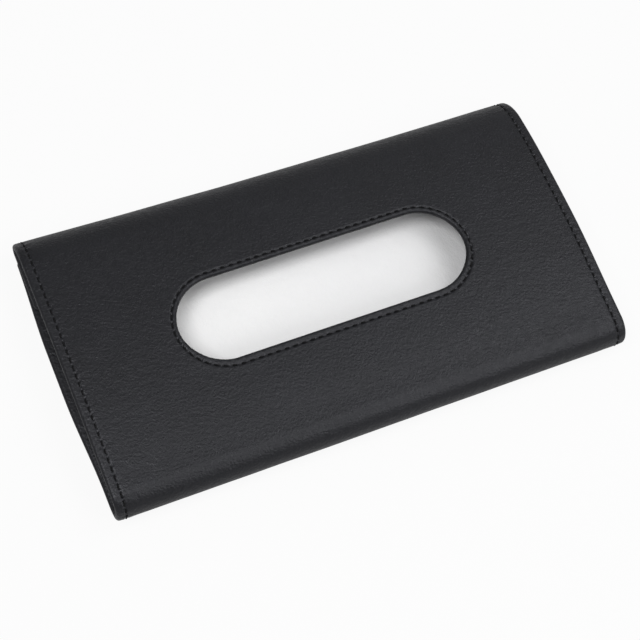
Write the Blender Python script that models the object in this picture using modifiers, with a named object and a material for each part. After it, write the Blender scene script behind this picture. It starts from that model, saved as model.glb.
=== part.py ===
"""Sun-visor tissue holder: a leather wrap with a window, folded round a flat cavity.

The wrap lies on its back. +X runs along it, +Y points at the edge that opens, +Z is up, and the
origin is under its middle, at the underside of the two elastic bands. Every layer is cut flat,
its hems are turned, and it is then laid along one outline of the wrap's cross-section.
"""

import math

import bmesh
import bpy

# Driving sizes, in metres

LENGTH = 0.230
WIDTH = 0.128
NEAR_FOLD_RADIUS = 0.009
FAR_SHOULDER_RADIUS = 0.018
CROWN_SLOPE = math.radians(4.7)

LEATHER = 0.0008
STIFFENER = 0.0008
LINING = 0.0005
LAYER_GAP = 0.0003

WINDOW_LENGTH = 0.1295
WINDOW_WIDTH = 0.0395
WINDOW_HEM_WIDTH = 0.007
EDGE_HEM_WIDTH = 0.009

LIP_WIDTH = 0.026
LIP_FOLD_INNER_RADIUS = 0.001
BACK_EDGE_INSET = 0.0015

STIFFENER_FROM_FOLD = 0.003
STIFFENER_FROM_EDGE = 0.002
LINING_JOINT_FROM_FOLD = 0.005

MAGNET_RADIUS = 0.005
MAGNET_FROM_END = 0.045

BAND_WIDTH = 0.022
BAND_LENGTH = 0.100
BAND_THICKNESS = 0.0012
BAND_EDGE_ROUND = 0.0004
BAND_FROM_END = 0.055

CUT_OVERRUN = 0.001

# Facets

HEM_STEPS = 8
SPINE_STEPS = 20
CROWN_STEPS = 8
SHOULDER_STEPS = 10
LIP_FOLD_STEPS = 12
CORNER_COLUMNS = 6
MIDDLE_COLUMNS = 1
WINDOW_ROWS = 12
MAGNET_SIDES = 32
BAND_ROUND_STEPS = 2
SMOOTH_ANGLE = math.radians(35)

# Sizes worked out from the driving ones

BACK_Z = BAND_THICKNESS + LAYER_GAP
HEM_THICKNESS = 2 * LEATHER + STIFFENER + 2 * LAYER_GAP
HEM_RADIUS = HEM_THICKNESS / 2
HEM_MID_RADIUS = HEM_RADIUS - LEATHER / 2

LEATHER_DEPTH = LEATHER / 2
STIFFENER_DEPTH = LEATHER + LAYER_GAP + STIFFENER / 2
LINING_DEPTH = HEM_THICKNESS - LEATHER + LINING / 2
TURN_IN_DEPTH = HEM_THICKNESS - LEATHER / 2

LIP_Z = BACK_Z + HEM_THICKNESS + LAYER_GAP
LIP_FOLD_RADIUS = HEM_THICKNESS + LIP_FOLD_INNER_RADIUS
CREASE_Z = BACK_Z + NEAR_FOLD_RADIUS * (1 + math.cos(CROWN_SLOPE))

SHOULDER_DROP = CREASE_Z - LIP_Z
SHOULDER_END_COSINE = (
    FAR_SHOULDER_RADIUS * math.cos(CROWN_SLOPE) + LIP_FOLD_RADIUS - SHOULDER_DROP
) / (FAR_SHOULDER_RADIUS - LIP_FOLD_RADIUS)
SHOULDER_END_SLOPE = math.acos(SHOULDER_END_COSINE)

NEAR_FOLD_REACH = NEAR_FOLD_RADIUS * (1 - math.sin(CROWN_SLOPE))
SHOULDER_REACH = FAR_SHOULDER_RADIUS * (math.sin(SHOULDER_END_SLOPE) - math.sin(CROWN_SLOPE))
LIP_FOLD_REACH = LIP_FOLD_RADIUS * (1 - math.sin(SHOULDER_END_SLOPE))
CROWN_SPAN = WIDTH - NEAR_FOLD_REACH - SHOULDER_REACH - LIP_FOLD_REACH
CROWN_RADIUS = CROWN_SPAN / 2 / math.sin(CROWN_SLOPE)

BACK_EDGE_Y = WIDTH / 2 - BACK_EDGE_INSET
BACK_RUN = BACK_EDGE_Y + WIDTH / 2 - NEAR_FOLD_RADIUS

# Runs of the outer outline, in order: length, bend radius (zero where straight), facets

RUNS = {
    "back": (BACK_RUN, 0, 1),
    "spine": (NEAR_FOLD_RADIUS * (math.pi - CROWN_SLOPE), NEAR_FOLD_RADIUS, SPINE_STEPS),
    "crown": (CROWN_RADIUS * 2 * CROWN_SLOPE, CROWN_RADIUS, CROWN_STEPS),
    "shoulder": (
        FAR_SHOULDER_RADIUS * (SHOULDER_END_SLOPE - CROWN_SLOPE),
        FAR_SHOULDER_RADIUS,
        SHOULDER_STEPS,
    ),
    "lip_fold": (
        LIP_FOLD_RADIUS * (math.pi - SHOULDER_END_SLOPE),
        LIP_FOLD_RADIUS,
        LIP_FOLD_STEPS,
    ),
    "lip": (LIP_WIDTH, 0, 1),
}


def run_end(last):
    """Distance along the outline to the end of the named run."""
    total = 0
    for name, (length, _, _) in RUNS.items():
        total += length
        if name == last:
            break
    return total


CREASE = run_end("spine")
CROWN_END = run_end("crown")
LIP_START = run_end("lip_fold")
LIP_END = run_end("lip")

CROWN_START_Y = NEAR_FOLD_REACH - WIDTH / 2
CROWN_TOP_Y = CROWN_START_Y + CROWN_SPAN / 2
WINDOW_MIDDLE = CREASE + CROWN_RADIUS * (CROWN_SLOPE - math.asin(CROWN_TOP_Y / CROWN_RADIUS))

WINDOW_END_RADIUS = WINDOW_WIDTH / 2
WINDOW_END_CENTRE = WINDOW_LENGTH / 2 - WINDOW_END_RADIUS
WINDOW_BORDER = WINDOW_HEM_WIDTH + HEM_THICKNESS
WINDOW_COLUMNS = 2 * CORNER_COLUMNS + MIDDLE_COLUMNS

FACE_END_X = LENGTH / 2 - HEM_RADIUS
LINING_FROM_EDGE = EDGE_HEM_WIDTH + LAYER_GAP
LINING_END_X = LENGTH / 2 - LINING_FROM_EDGE
LINING_JOINT = BACK_RUN - LINING_JOINT_FROM_FOLD

MAGNET_X = LENGTH / 2 - MAGNET_FROM_END
MAGNET_Y = WIDTH / 2 - LIP_FOLD_RADIUS - LIP_WIDTH / 2
MAGNET_POCKET_RADIUS = MAGNET_RADIUS + LAYER_GAP
BAND_X = LENGTH / 2 - BAND_FROM_END

# Materials: colour, roughness, metallic

FINISHES = {
    "black_leather": ((0.032, 0.032, 0.035), 0.5, 0),
    "white_lining": ((0.82, 0.82, 0.83), 0.45, 0),
    "black_lining": ((0.02, 0.02, 0.021), 0.8, 0),
    "grey_board": ((0.3, 0.28, 0.25), 0.9, 0),
    "plated_magnet": ((0.6, 0.6, 0.58), 0.3, 1),
    "black_elastic": ((0.015, 0.015, 0.016), 0.9, 0),
}


def clear_scene():
    for thing in list(bpy.data.objects):
        bpy.data.objects.remove(thing, do_unlink=True)


def new_collection(name):
    collection = bpy.data.collections.new(name)
    bpy.context.scene.collection.children.link(collection)
    return collection


def make_material(name):
    colour, roughness, metallic = FINISHES[name]
    material = bpy.data.materials.new(name)
    material.use_nodes = True
    shader = material.node_tree.nodes["Principled BSDF"]
    shader.inputs["Base Color"].default_value = (*colour, 1)
    shader.inputs["Roughness"].default_value = roughness
    shader.inputs["Metallic"].default_value = metallic
    return material


def section_at(distance):
    """Place and heading of the outer outline at a distance from the back leaf's free edge."""
    y, z, heading = BACK_EDGE_Y, BACK_Z, math.pi
    for length, radius, _ in RUNS.values():
        step = min(distance, length)
        if radius:
            turned = heading - step / radius
            y += radius * (math.sin(heading) - math.sin(turned))
            z += radius * (math.cos(turned) - math.cos(heading))
            heading = turned
        else:
            y += step * math.cos(heading)
            z += step * math.sin(heading)
        distance -= step
        if distance <= 0:
            break
    return y, z, heading


def laid_on_section(x, distance, depth):
    """Place of a point of the flat pattern, that deep under the outline, once it is folded."""
    y, z, heading = section_at(distance)
    return x, y + depth * math.sin(heading), z - depth * math.cos(heading)


def rows_between(start, end):
    """Distances along the outline, close together where it bends."""
    rows = [start]
    passed = 0
    for length, radius, steps in RUNS.values():
        low = max(start, passed)
        high = min(end, passed + length)
        if high > low:
            count = max(1, round(steps * (high - low) / length)) if radius else 1
            rows += [low + (high - low) * k / count for k in range(1, count + 1)]
        passed += length
    return rows


def window_rows(start, end):
    """Rows of a sheet with the window in it, and the first row of the window's block."""
    half = WINDOW_WIDTH / 2 + WINDOW_BORDER
    low, high = WINDOW_MIDDLE - half, WINDOW_MIDDLE + half
    before = rows_between(start, low)
    block = [low + (high - low) * k / WINDOW_ROWS for k in range(1, WINDOW_ROWS)]
    after = rows_between(high, end)
    return before + block + after, len(before) - 1


def window_columns(end_x):
    """Places across a sheet with the window in it, close together at the window's round ends."""
    edge = WINDOW_LENGTH / 2 + WINDOW_BORDER
    side = [
        edge + (WINDOW_END_CENTRE - edge) * k / CORNER_COLUMNS for k in range(CORNER_COLUMNS + 1)
    ]
    return [-end_x] + [-x for x in side] + side[::-1] + [end_x]


def window_point(column, row, offset):
    """Point of the window's outline, moved out by the offset, that faces a point of its block."""
    side = -1
    if column > WINDOW_COLUMNS / 2:
        column = WINDOW_COLUMNS - column
        side = 1
    if row == WINDOW_ROWS:
        step = CORNER_COLUMNS - column
    elif row == 0:
        step = CORNER_COLUMNS + WINDOW_ROWS + column
    else:
        step = CORNER_COLUMNS + WINDOW_ROWS - row
    angle = math.pi * (step / (2 * CORNER_COLUMNS + WINDOW_ROWS) - 1 / 2)
    radius = WINDOW_END_RADIUS + offset
    x = WINDOW_END_CENTRE + radius * math.cos(angle)
    return side * x, WINDOW_MIDDLE - radius * math.sin(angle)


def hem_turn():
    """Setback from the turned edge and depth, from the flat round to the turn-in."""
    turn = []
    for k in range(HEM_STEPS + 1):
        angle = math.pi * k / HEM_STEPS
        setback = HEM_RADIUS - HEM_MID_RADIUS * math.sin(angle)
        turn.append((setback, LEATHER_DEPTH + HEM_MID_RADIUS * (1 - math.cos(angle))))
    return turn


def turn_edges(bm, index, last_column, free_edge):
    """Turns three edges of a leather sheet round the board, ring by ring, with mitred corners.

    The free edge is given by its row and its distance along the outline. The row at the other
    end is the cut along the crease, which has no hem.
    """
    column, row = index
    free_row, free_distance = free_edge
    inwards = 1 if free_row == 0 else -1

    def turned(edge):
        one, other = edge.verts
        at_end = one[column] == other[column]
        return edge.is_boundary and (at_end or one[row] == other[row] == free_row)

    border = [edge for edge in bm.edges if turned(edge)]
    for setback, depth in hem_turn()[1:] + [(EDGE_HEM_WIDTH, TURN_IN_DEPTH)]:
        verts, border = extrude_ring(bm, border)
        for vert in verts:
            x, distance, _ = vert.co
            if vert[column] in (0, last_column):
                x = math.copysign(LENGTH / 2 - setback, x)
            limit = free_distance + inwards * setback
            if vert[row] == free_row or (distance - limit) * inwards < 0:
                distance = limit
            vert.co = (x, distance, depth)


def extrude_ring(bm, border):
    """Extrudes border edges in place, and gives the new vertices and the new border."""
    made = bmesh.ops.extrude_edge_only(bm, edges=border)["geom"]
    verts = {item for item in made if isinstance(item, bmesh.types.BMVert)}
    border = [
        item
        for item in made
        if isinstance(item, bmesh.types.BMEdge) and all(v in verts for v in item.verts)
    ]
    return verts, border


def cut_window(bm, index, first_row, rings):
    """Opens the window's block and leads its border in to the outline, ring by ring."""
    column, row = index
    first_column = 1
    last_column = first_column + WINDOW_COLUMNS
    last_row = first_row + WINDOW_ROWS

    def in_block(vert):
        return (
            first_column <= vert[column] <= last_column and first_row <= vert[row] <= last_row
        )

    block = [face for face in bm.faces if all(in_block(vert) for vert in face.verts)]
    bmesh.ops.delete(bm, geom=block, context="FACES")
    border = [
        edge for edge in bm.edges if edge.is_boundary and all(in_block(v) for v in edge.verts)
    ]
    for offset, depth in rings:
        verts, border = extrude_ring(bm, border)
        for vert in verts:
            x, distance = window_point(vert[column] - first_column, vert[row] - first_row, offset)
            vert.co = (x, distance, depth)


def make_sheet(columns, rows, depth, window=None, free_edge=None):
    """Middle surface of a layer: a grid with its window and hems, folded along the outline."""
    bm = bmesh.new()
    across, along = len(columns) - 1, len(rows) - 1
    bmesh.ops.create_grid(bm, x_segments=across, y_segments=along, size=1)
    column = bm.verts.layers.int.new("column")
    row = bm.verts.layers.int.new("row")
    for vert in bm.verts:
        vert[column] = round((vert.co.x + 1) / 2 * across)
        vert[row] = round((vert.co.y + 1) / 2 * along)
        vert.co = (columns[vert[column]], rows[vert[row]], depth)
    if free_edge:
        turn_edges(bm, (column, row), across, free_edge)
    if window:
        cut_window(bm, (column, row), *window)
    for vert in bm.verts:
        vert.co = laid_on_section(*vert.co)
    mesh = bpy.data.meshes.new("sheet")
    bm.to_mesh(mesh)
    bm.free()
    return mesh


def smooth(mesh):
    mesh.shade_smooth()
    mesh.set_sharp_from_angle(angle=SMOOTH_ANGLE)


def add_piece(name, mesh, material, body):
    """Puts a mesh, given in the wrap's own frame, on the body that carries it."""
    piece = bpy.data.objects.new(name, mesh)
    parts.objects.link(piece)
    mesh.name = name
    mesh.materials.clear()
    mesh.materials.append(materials[material])
    if body:
        for vert in mesh.vertices:
            vert.co -= body.location
        piece.parent = body
    smooth(mesh)
    return piece


def add_layer(name, sheet, thickness, material, body=None):
    piece = add_piece(name, sheet, material, body)
    shell = piece.modifiers.new("thickness", "SOLIDIFY")
    shell.thickness = thickness
    shell.offset = 0
    shell.use_even_offset = True
    shell.use_quality_normals = True
    return piece


def make_disc(radius, height, centre):
    bpy.ops.mesh.primitive_cylinder_add(
        vertices=MAGNET_SIDES, radius=radius, depth=height, location=centre
    )
    disc = bpy.context.object
    bpy.ops.object.transform_apply(location=True, rotation=False, scale=False)
    mesh = disc.data
    bpy.data.objects.remove(disc, do_unlink=True)
    return mesh


def cut_pockets(piece, base_z):
    """Cuts the round magnet pockets through a stiffener that lies at the given height."""
    for side in (-1, 1):
        centre = (side * MAGNET_X, MAGNET_Y, base_z + STIFFENER_DEPTH)
        mesh = make_disc(MAGNET_POCKET_RADIUS, STIFFENER + 2 * CUT_OVERRUN, centre)
        cutter = bpy.data.objects.new(piece.name + "_pocket", mesh)
        cutters.objects.link(cutter)
        cutter.hide_render = True
        cutter.display_type = "WIRE"
        pocket = piece.modifiers.new("magnet_pocket", "BOOLEAN")
        pocket.operation = "DIFFERENCE"
        pocket.solver = "EXACT"
        pocket.object = cutter


def add_magnets(prefix, base_z, body=None):
    for side, word in ((-1, "left"), (1, "right")):
        centre = (side * MAGNET_X, MAGNET_Y, base_z + STIFFENER_DEPTH)
        mesh = make_disc(MAGNET_RADIUS, STIFFENER, centre)
        add_piece(f"{prefix}_magnet_{word}", mesh, "plated_magnet", body)


def add_back_leaf():
    """The leaf that lies on the visor, with the fold that carries the front."""
    ends = [-FACE_END_X, FACE_END_X]
    lining_ends = [-LINING_END_X, LINING_END_X]
    fold_end = CREASE - LAYER_GAP / 2

    rows = rows_between(HEM_RADIUS, fold_end)
    sheet = make_sheet(ends, rows, LEATHER_DEPTH, free_edge=(0, 0))
    add_layer("back_cover_leather", sheet, LEATHER, "black_leather")

    rows = rows_between(STIFFENER_FROM_EDGE, BACK_RUN - STIFFENER_FROM_FOLD)
    sheet = make_sheet(ends, rows, STIFFENER_DEPTH)
    cut_pockets(add_layer("back_stiffener", sheet, STIFFENER, "grey_board"), BACK_Z)

    rows = rows_between(LINING_FROM_EDGE, LINING_JOINT - LAYER_GAP / 2)
    sheet = make_sheet(lining_ends, rows, LINING_DEPTH)
    add_layer("back_lining", sheet, LINING, "white_lining")

    rows = rows_between(LINING_JOINT + LAYER_GAP / 2, fold_end)
    sheet = make_sheet(lining_ends, rows, LINING_DEPTH)
    add_layer("spine_lining", sheet, LINING, "black_lining")

    add_magnets("back", BACK_Z)


def add_front_leaf(hinge):
    """The windowed leaf, from the crease over the far fold to the lip that tucks in."""
    ends = [-FACE_END_X, FACE_END_X]
    start = CREASE + LAYER_GAP / 2

    rows, first_row = window_rows(start, LIP_END - HEM_RADIUS)
    columns = window_columns(FACE_END_X)
    window = (first_row, hem_turn() + [(WINDOW_HEM_WIDTH, TURN_IN_DEPTH)])
    free_edge = (len(rows) - 1, LIP_END)
    sheet = make_sheet(columns, rows, LEATHER_DEPTH, window, free_edge)
    add_layer("front_cover_leather", sheet, LEATHER, "black_leather", hinge)

    rows, first_row = window_rows(start, LIP_END - LINING_FROM_EDGE)
    columns = window_columns(LINING_END_X)
    window = (first_row, [(WINDOW_HEM_WIDTH + LAYER_GAP, LINING_DEPTH)])
    sheet = make_sheet(columns, rows, LINING_DEPTH, window)
    add_layer("front_lining", sheet, LINING, "black_lining", hinge)

    rows, first_row = window_rows(CREASE + STIFFENER_FROM_FOLD, CROWN_END - STIFFENER_FROM_EDGE)
    columns = window_columns(FACE_END_X)
    window = (first_row, [(HEM_RADIUS, STIFFENER_DEPTH)])
    sheet = make_sheet(columns, rows, STIFFENER_DEPTH, window)
    add_layer("front_stiffener", sheet, STIFFENER, "grey_board", hinge)

    rows = rows_between(LIP_START + STIFFENER_FROM_FOLD, LIP_END - STIFFENER_FROM_EDGE)
    sheet = make_sheet(ends, rows, STIFFENER_DEPTH)
    board = add_layer("lip_stiffener", sheet, STIFFENER, "grey_board", hinge)
    cut_pockets(board, LIP_Z)
    add_magnets("lip", LIP_Z, hinge)


def add_bands():
    """Elastic bands that hold the wrap on the visor, sewn across the back leaf."""
    for side, word in ((-1, "left"), (1, "right")):
        centre = (side * BAND_X, 0, BAND_THICKNESS / 2)
        bpy.ops.mesh.primitive_cube_add(size=1, location=centre)
        block = bpy.context.object
        block.scale = (BAND_WIDTH, BAND_LENGTH, BAND_THICKNESS)
        bpy.ops.object.transform_apply(location=True, rotation=False, scale=True)
        mesh = block.data
        bpy.data.objects.remove(block, do_unlink=True)
        band = add_piece(f"visor_band_{word}", mesh, "black_elastic", None)
        edge = band.modifiers.new("edge_round", "BEVEL")
        edge.width = BAND_EDGE_ROUND
        edge.segments = BAND_ROUND_STEPS


def add_hinge():
    """Empty on the crease along which the leather folds when the front is opened."""
    _, y, z = laid_on_section(0, CREASE, 0)
    hinge = bpy.data.objects.new("front_hinge", None)
    parts.objects.link(hinge)
    hinge.location = (0, y, z)
    return hinge


clear_scene()
parts = new_collection("tissue_holder")
cutters = new_collection("tissue_holder_cutters")
materials = {name: make_material(name) for name in FINISHES}

add_back_leaf()
add_front_leaf(add_hinge())
add_bands()
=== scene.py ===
"""Looks of the sun-visor tissue holder: leatherette, linings, threads, bands, floor and light.

The soft layers are laid out flat, face down: +X runs along the wrap's outline from the back leaf's
free edge to the lip's, +Y across the holder, +Z into the wrap. Then they are bent along the
outline. Lengths are in metres.
"""

import math

import bmesh
import bpy
from mathutils import Euler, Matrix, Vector, noise


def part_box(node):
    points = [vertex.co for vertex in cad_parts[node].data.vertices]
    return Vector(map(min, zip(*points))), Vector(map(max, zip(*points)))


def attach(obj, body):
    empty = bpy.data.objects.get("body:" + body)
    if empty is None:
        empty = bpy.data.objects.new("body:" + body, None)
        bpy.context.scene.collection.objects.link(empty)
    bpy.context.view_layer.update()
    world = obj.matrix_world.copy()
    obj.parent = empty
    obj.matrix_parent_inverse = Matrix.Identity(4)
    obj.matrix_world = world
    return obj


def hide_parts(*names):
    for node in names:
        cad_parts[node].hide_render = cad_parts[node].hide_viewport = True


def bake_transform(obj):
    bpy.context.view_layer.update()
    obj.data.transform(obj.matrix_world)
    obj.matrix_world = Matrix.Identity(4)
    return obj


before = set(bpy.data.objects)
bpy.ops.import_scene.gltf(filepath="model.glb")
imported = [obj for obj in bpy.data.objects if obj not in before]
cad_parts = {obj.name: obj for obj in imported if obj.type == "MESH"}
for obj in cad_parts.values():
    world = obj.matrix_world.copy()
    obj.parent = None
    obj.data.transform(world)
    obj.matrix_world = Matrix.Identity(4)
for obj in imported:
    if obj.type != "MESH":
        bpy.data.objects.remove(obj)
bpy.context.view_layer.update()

# Sizes read from the frame

back_low, back_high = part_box("back_cover_leather")
front_low, front_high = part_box("front_cover_leather")

LENGTH = round(front_high.x - front_low.x, 4)
WIDTH = round(front_high.y - back_low.y, 4)
BACK_Z = round(back_low.z, 4)
LIP_Z = round(front_low.z, 4)
BACK_EDGE_Y = round(back_high.y, 4)

# Sizes of the leatherette, its hems and its folds

NEAR_FOLD_RADIUS = 0.009
FAR_SHOULDER_RADIUS = 0.018
CROWN_SLOPE = math.radians(4.7)
LIP_WIDTH = 0.026
LEATHER = 0.0008
LINING = 0.0005
HEM_THICKNESS = 0.003
LIP_FOLD_RADIUS = 0.004
EDGE_HEM_WIDTH = 0.009
CORNER_RADIUS = 0.003
WINDOW_LENGTH = 0.1295
WINDOW_WIDTH = 0.0395
WINDOW_HEM_WIDTH = 0.007
LAYER_GAP = 0.0003

HEM_RADIUS = HEM_THICKNESS / 2
HEM_MID_RADIUS = HEM_RADIUS - LEATHER / 2
LEATHER_DEPTH = LEATHER / 2
TURN_IN_DEPTH = HEM_THICKNESS - LEATHER / 2
LINING_DEPTH = HEM_THICKNESS - LEATHER + LINING / 2
FACE_END = LENGTH / 2 - HEM_RADIUS
LINING_FROM_EDGE = EDGE_HEM_WIDTH + LAYER_GAP
LINING_END = LENGTH / 2 - LINING_FROM_EDGE

# Joints between the pieces of each layer, before the near fold and past the crease

BACK_JOINT_FROM_FOLD = 0.005
FRONT_JOINT_FROM_CREASE = 0.006

# Direction at the crease, along which the crease's reach is measured

BEND_DIRECTION = Vector((0, 0.8, 0.6))

# How far the fold's fine rows and its own stitches go on past the crease

FOLD_PAST_CREASE = 0.0028

# Sewing

STITCH_PITCH = 0.0038
STITCH_FROM_EDGE = 0.0041
STITCH_FROM_WINDOW = 0.0021
THREAD_RADIUS = 0.00037
THREAD_SIDES = 6
STITCH_LENGTH = 0.0023
STITCH_PARTS = 6
STITCH_TAPER = 0.35
STITCH_DIP = 0.0007
STITCH_SLANT = math.radians(7)
GROOVE_DEPTH = 0.0002
GROOVE_WIDTH = 0.0006
GROOVE_REACH = 0.6 * STITCH_PITCH
HOLE_DEPTH = 0.0004
HOLE_WIDTH = 0.00034
PUCKER_HEIGHT = 0.00015
PUCKER_FROM_LINE = 0.0011
PUCKER_WIDTH = 0.0006
PUCKER_LENGTH = STITCH_PITCH / 3

# Elastic bands

BAND_CELLS_ACROSS = 22
BAND_CELLS_ALONG = 100
BAND_STITCH_ROWS = (0.003, 0.0075)
BAND_STITCH_PITCH = 0.0026
BAND_STITCH_LENGTH = 0.0022
BAND_UNSEWN_WIDTH = 0.002
BAND_RISE_LENGTH = 0.014
BAND_PINCH = 0.00018
BAND_PINCH_WIDTH = 0.0012
SELVEDGE_WIDTH = 0.0015
SELVEDGE_WAVE = 0.00012
SELVEDGE_WAVE_RATE = 900

# Natural give of the soft layers. Each wave has its rates along X and Y, its layer and its share

FACE_SWELL = 0.00012
SWELL_RISE = 0.009
SWELL_UNEVENNESS = 0.8
SWELL_WAVES = ((24, 24, 0, 1), (61, 61, 3, 0.6))
LEFT_BOW = 0.0016
RIGHT_BOW = 0.0008
BOW_RISE = 0.045
BOW_START = 0.055
RIM_LEAN = 0.0012
RIM_LEAN_START = 0.0023
RIM_LEAN_RISE = 0.0014
RIM_LEAN_RISE_INSIDE = 0.005
RIM_LEAN_MIDDLE = 0.3
LINING_WRINKLE = 0.0004
LINING_WAVES = ((40, 22, 5, 1), (110, 60, 9, 0.4))
STRAY_START = 0.018
STRAY_MIDDLE = -0.00098
STRAY_SLOPE = -0.0209
STRAY_CURVE = 0.089

# Mesh cells

CELL = 0.0038
FOLD_CELL = 0.0007
SHOULDER_CELL = 0.00085
LIP_FOLD_CELL = 0.00042
HEM_STEPS = 8
CORNER_REACH = 1.2 * CELL
CORNER_CUTS = 3
SEAM_CUTS = 9
WRINKLE_CUTS = 4
WRINKLED_TO = 0.08
SEWN_RING = 0.0034
COLLAR_REACH = 0.006
LINING_COLLAR_REACH = 0.0095
LINE_STEP = 0.00025
WELD = LINE_STEP / 10
SAME_LEVEL = LEATHER / 10
SMOOTH_ANGLE = math.radians(40)

# Finishes: the range that a noise texture's values mostly keep to

NOISE_LOW = 0.3
NOISE_HIGH = 0.7

# Floor, room and camera: the camera is fitted to the photo

WHITE = (1, 1, 1, 1)
FLOOR_SIZE = 6
FLOOR_WHITENED = (0.92, 1)
FLOOR_WHITENED_FROM = 0.25
FLOOR_WHITENED_TO = 0.7
ROOM_LIGHT = (0.27, 0.27, 0.275, 1)
CAMERA_LENS = 102.55
CAMERA_SENSOR = 36
CAMERA_PLACE = (-0.19574, -0.28195, 0.70491)
CAMERA_TURN = (24.8845, -5.9077, -22.5605)

# Softboxes: name, place, width and height, power

SOFTBOXES = (
    ("overhead_left", (-0.55, -0.15, 1.2), (0.5, 0.6), 8),
    ("overhead_right", (0.4, -0.05, 0.95), (0.4, 0.4), 1.8),
    ("high_right", (0.75, 0.05, 0.9), (0.6, 0.6), 1.3),
    ("near_right", (0.45, -0.75, 0.8), (0.7, 0.6), 3.8),
    ("far_right", (0.6, 1.15, 0.7), (0.9, 0.6), 1),
)

# The wrap's outline: length and bend radius of each run

CREASE_Z = BACK_Z + NEAR_FOLD_RADIUS * (1 + math.cos(CROWN_SLOPE))
SHOULDER_END_SLOPE = math.acos(
    (FAR_SHOULDER_RADIUS * math.cos(CROWN_SLOPE) + LIP_FOLD_RADIUS - CREASE_Z + LIP_Z)
    / (FAR_SHOULDER_RADIUS - LIP_FOLD_RADIUS)
)
SHOULDER_REACH = FAR_SHOULDER_RADIUS * (math.sin(SHOULDER_END_SLOPE) - math.sin(CROWN_SLOPE))
LIP_FOLD_REACH = LIP_FOLD_RADIUS * (1 - math.sin(SHOULDER_END_SLOPE))
NEAR_FOLD_REACH = NEAR_FOLD_RADIUS * (1 - math.sin(CROWN_SLOPE))
CROWN_SPAN = WIDTH - NEAR_FOLD_REACH - SHOULDER_REACH - LIP_FOLD_REACH
CROWN_RADIUS = CROWN_SPAN / 2 / math.sin(CROWN_SLOPE)

RUNS = {
    "back": (BACK_EDGE_Y + WIDTH / 2 - NEAR_FOLD_RADIUS, 0),
    "spine": (NEAR_FOLD_RADIUS * (math.pi - CROWN_SLOPE), NEAR_FOLD_RADIUS),
    "crown": (CROWN_RADIUS * 2 * CROWN_SLOPE, CROWN_RADIUS),
    "shoulder": (FAR_SHOULDER_RADIUS * (SHOULDER_END_SLOPE - CROWN_SLOPE), FAR_SHOULDER_RADIUS),
    "lip_fold": (LIP_FOLD_RADIUS * (math.pi - SHOULDER_END_SLOPE), LIP_FOLD_RADIUS),
    "lip": (LIP_WIDTH, 0),
}


def run_end(last):
    """Distance along the outline to the end of the named run."""
    total = 0
    for name, (length, _) in RUNS.items():
        total += length
        if name == last:
            break
    return total


def section_at(distance):
    """Place of the outer outline at a distance from the back leaf's free edge."""
    y, z, heading = BACK_EDGE_Y, BACK_Z, math.pi
    for length, radius in RUNS.values():
        step = min(distance, length)
        if radius:
            turned = heading - step / radius
            y += radius * (math.sin(heading) - math.sin(turned))
            z += radius * (math.cos(turned) - math.cos(heading))
            heading = turned
        else:
            y += step * math.cos(heading)
            z += step * math.sin(heading)
        distance -= step
        if distance <= 0:
            break
    return Vector((0, y, z))


FOLD_START = run_end("back")
CREASE = run_end("spine")
CROWN_END = run_end("crown")
SHOULDER_END = run_end("shoulder")
LIP_START = run_end("lip_fold")
LIP_END = run_end("lip")
CROWN_TOP_Y = NEAR_FOLD_REACH - WIDTH / 2 + CROWN_SPAN / 2
WINDOW_MIDDLE = CREASE + CROWN_RADIUS * (CROWN_SLOPE - math.asin(CROWN_TOP_Y / CROWN_RADIUS))
WINDOW_END_RADIUS = WINDOW_WIDTH / 2
WINDOW_END_CENTRE = WINDOW_LENGTH / 2 - WINDOW_END_RADIUS
BACK_JOINT = FOLD_START - BACK_JOINT_FROM_FOLD
FRONT_JOINT = CREASE + FRONT_JOINT_FROM_CREASE
SEW_LINE_END = LENGTH / 2 - STITCH_FROM_EDGE
SEW_LINE_LIP = LIP_END - STITCH_FROM_EDGE


# Working with Blender's tools


def take(*pieces):
    """Selects these pieces only, the first as the active one."""
    bpy.ops.object.select_all(action="DESELECT")
    for piece in pieces:
        piece.select_set(True)
    bpy.context.view_layer.objects.active = pieces[0]


def edit(piece, kind="FACE"):
    """Opens a piece for editing with nothing selected in it, and gives its mesh."""
    take(piece)
    bpy.ops.object.mode_set(mode="EDIT")
    bpy.ops.mesh.select_mode(type=kind)
    bpy.ops.mesh.select_all(action="DESELECT")
    return bmesh.from_edit_mesh(piece.data)


def choose(items, test):
    """Selects those of a mesh's faces or edges that pass the test."""
    for item in items:
        if test(item):
            item.select_set(True)


def close(piece):
    bmesh.update_edit_mesh(piece.data)
    bpy.ops.object.mode_set(mode="OBJECT")


def set_down(piece, name):
    """Names a new piece and puts its place, turn and scale into its mesh."""
    piece.name = name
    piece.data.name = name
    take(piece)
    bpy.ops.object.transform_apply(location=True, rotation=True, scale=True)
    return piece


def apply_modifier(piece, modifier):
    take(piece)
    bpy.ops.object.modifier_apply(modifier=modifier.name)


def join(pieces):
    """Joins pieces into the first."""
    take(*pieces)
    bpy.ops.object.join()
    return pieces[0]


def smooth(piece):
    take(piece)
    bpy.ops.object.shade_smooth_by_angle(angle=SMOOTH_ANGLE)


def bell(distance, width):
    return math.exp(-((distance / width) ** 2))


def ease(share):
    share = min(1, max(0, share))
    return share * share * (3 - 2 * share)


def unevenness(x, y, waves):
    """Sum of the waves' noise at one place."""
    return sum(share * noise.noise((x * a, y * b, layer)) for a, b, layer, share in waves)


# Laying out the layers


def steps_to(start, end, cell):
    """Row places after the start, evenly spread up to the end."""
    count = max(1, round((end - start) / cell))
    return [start + (end - start) * k / count for k in range(1, count + 1)]


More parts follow.
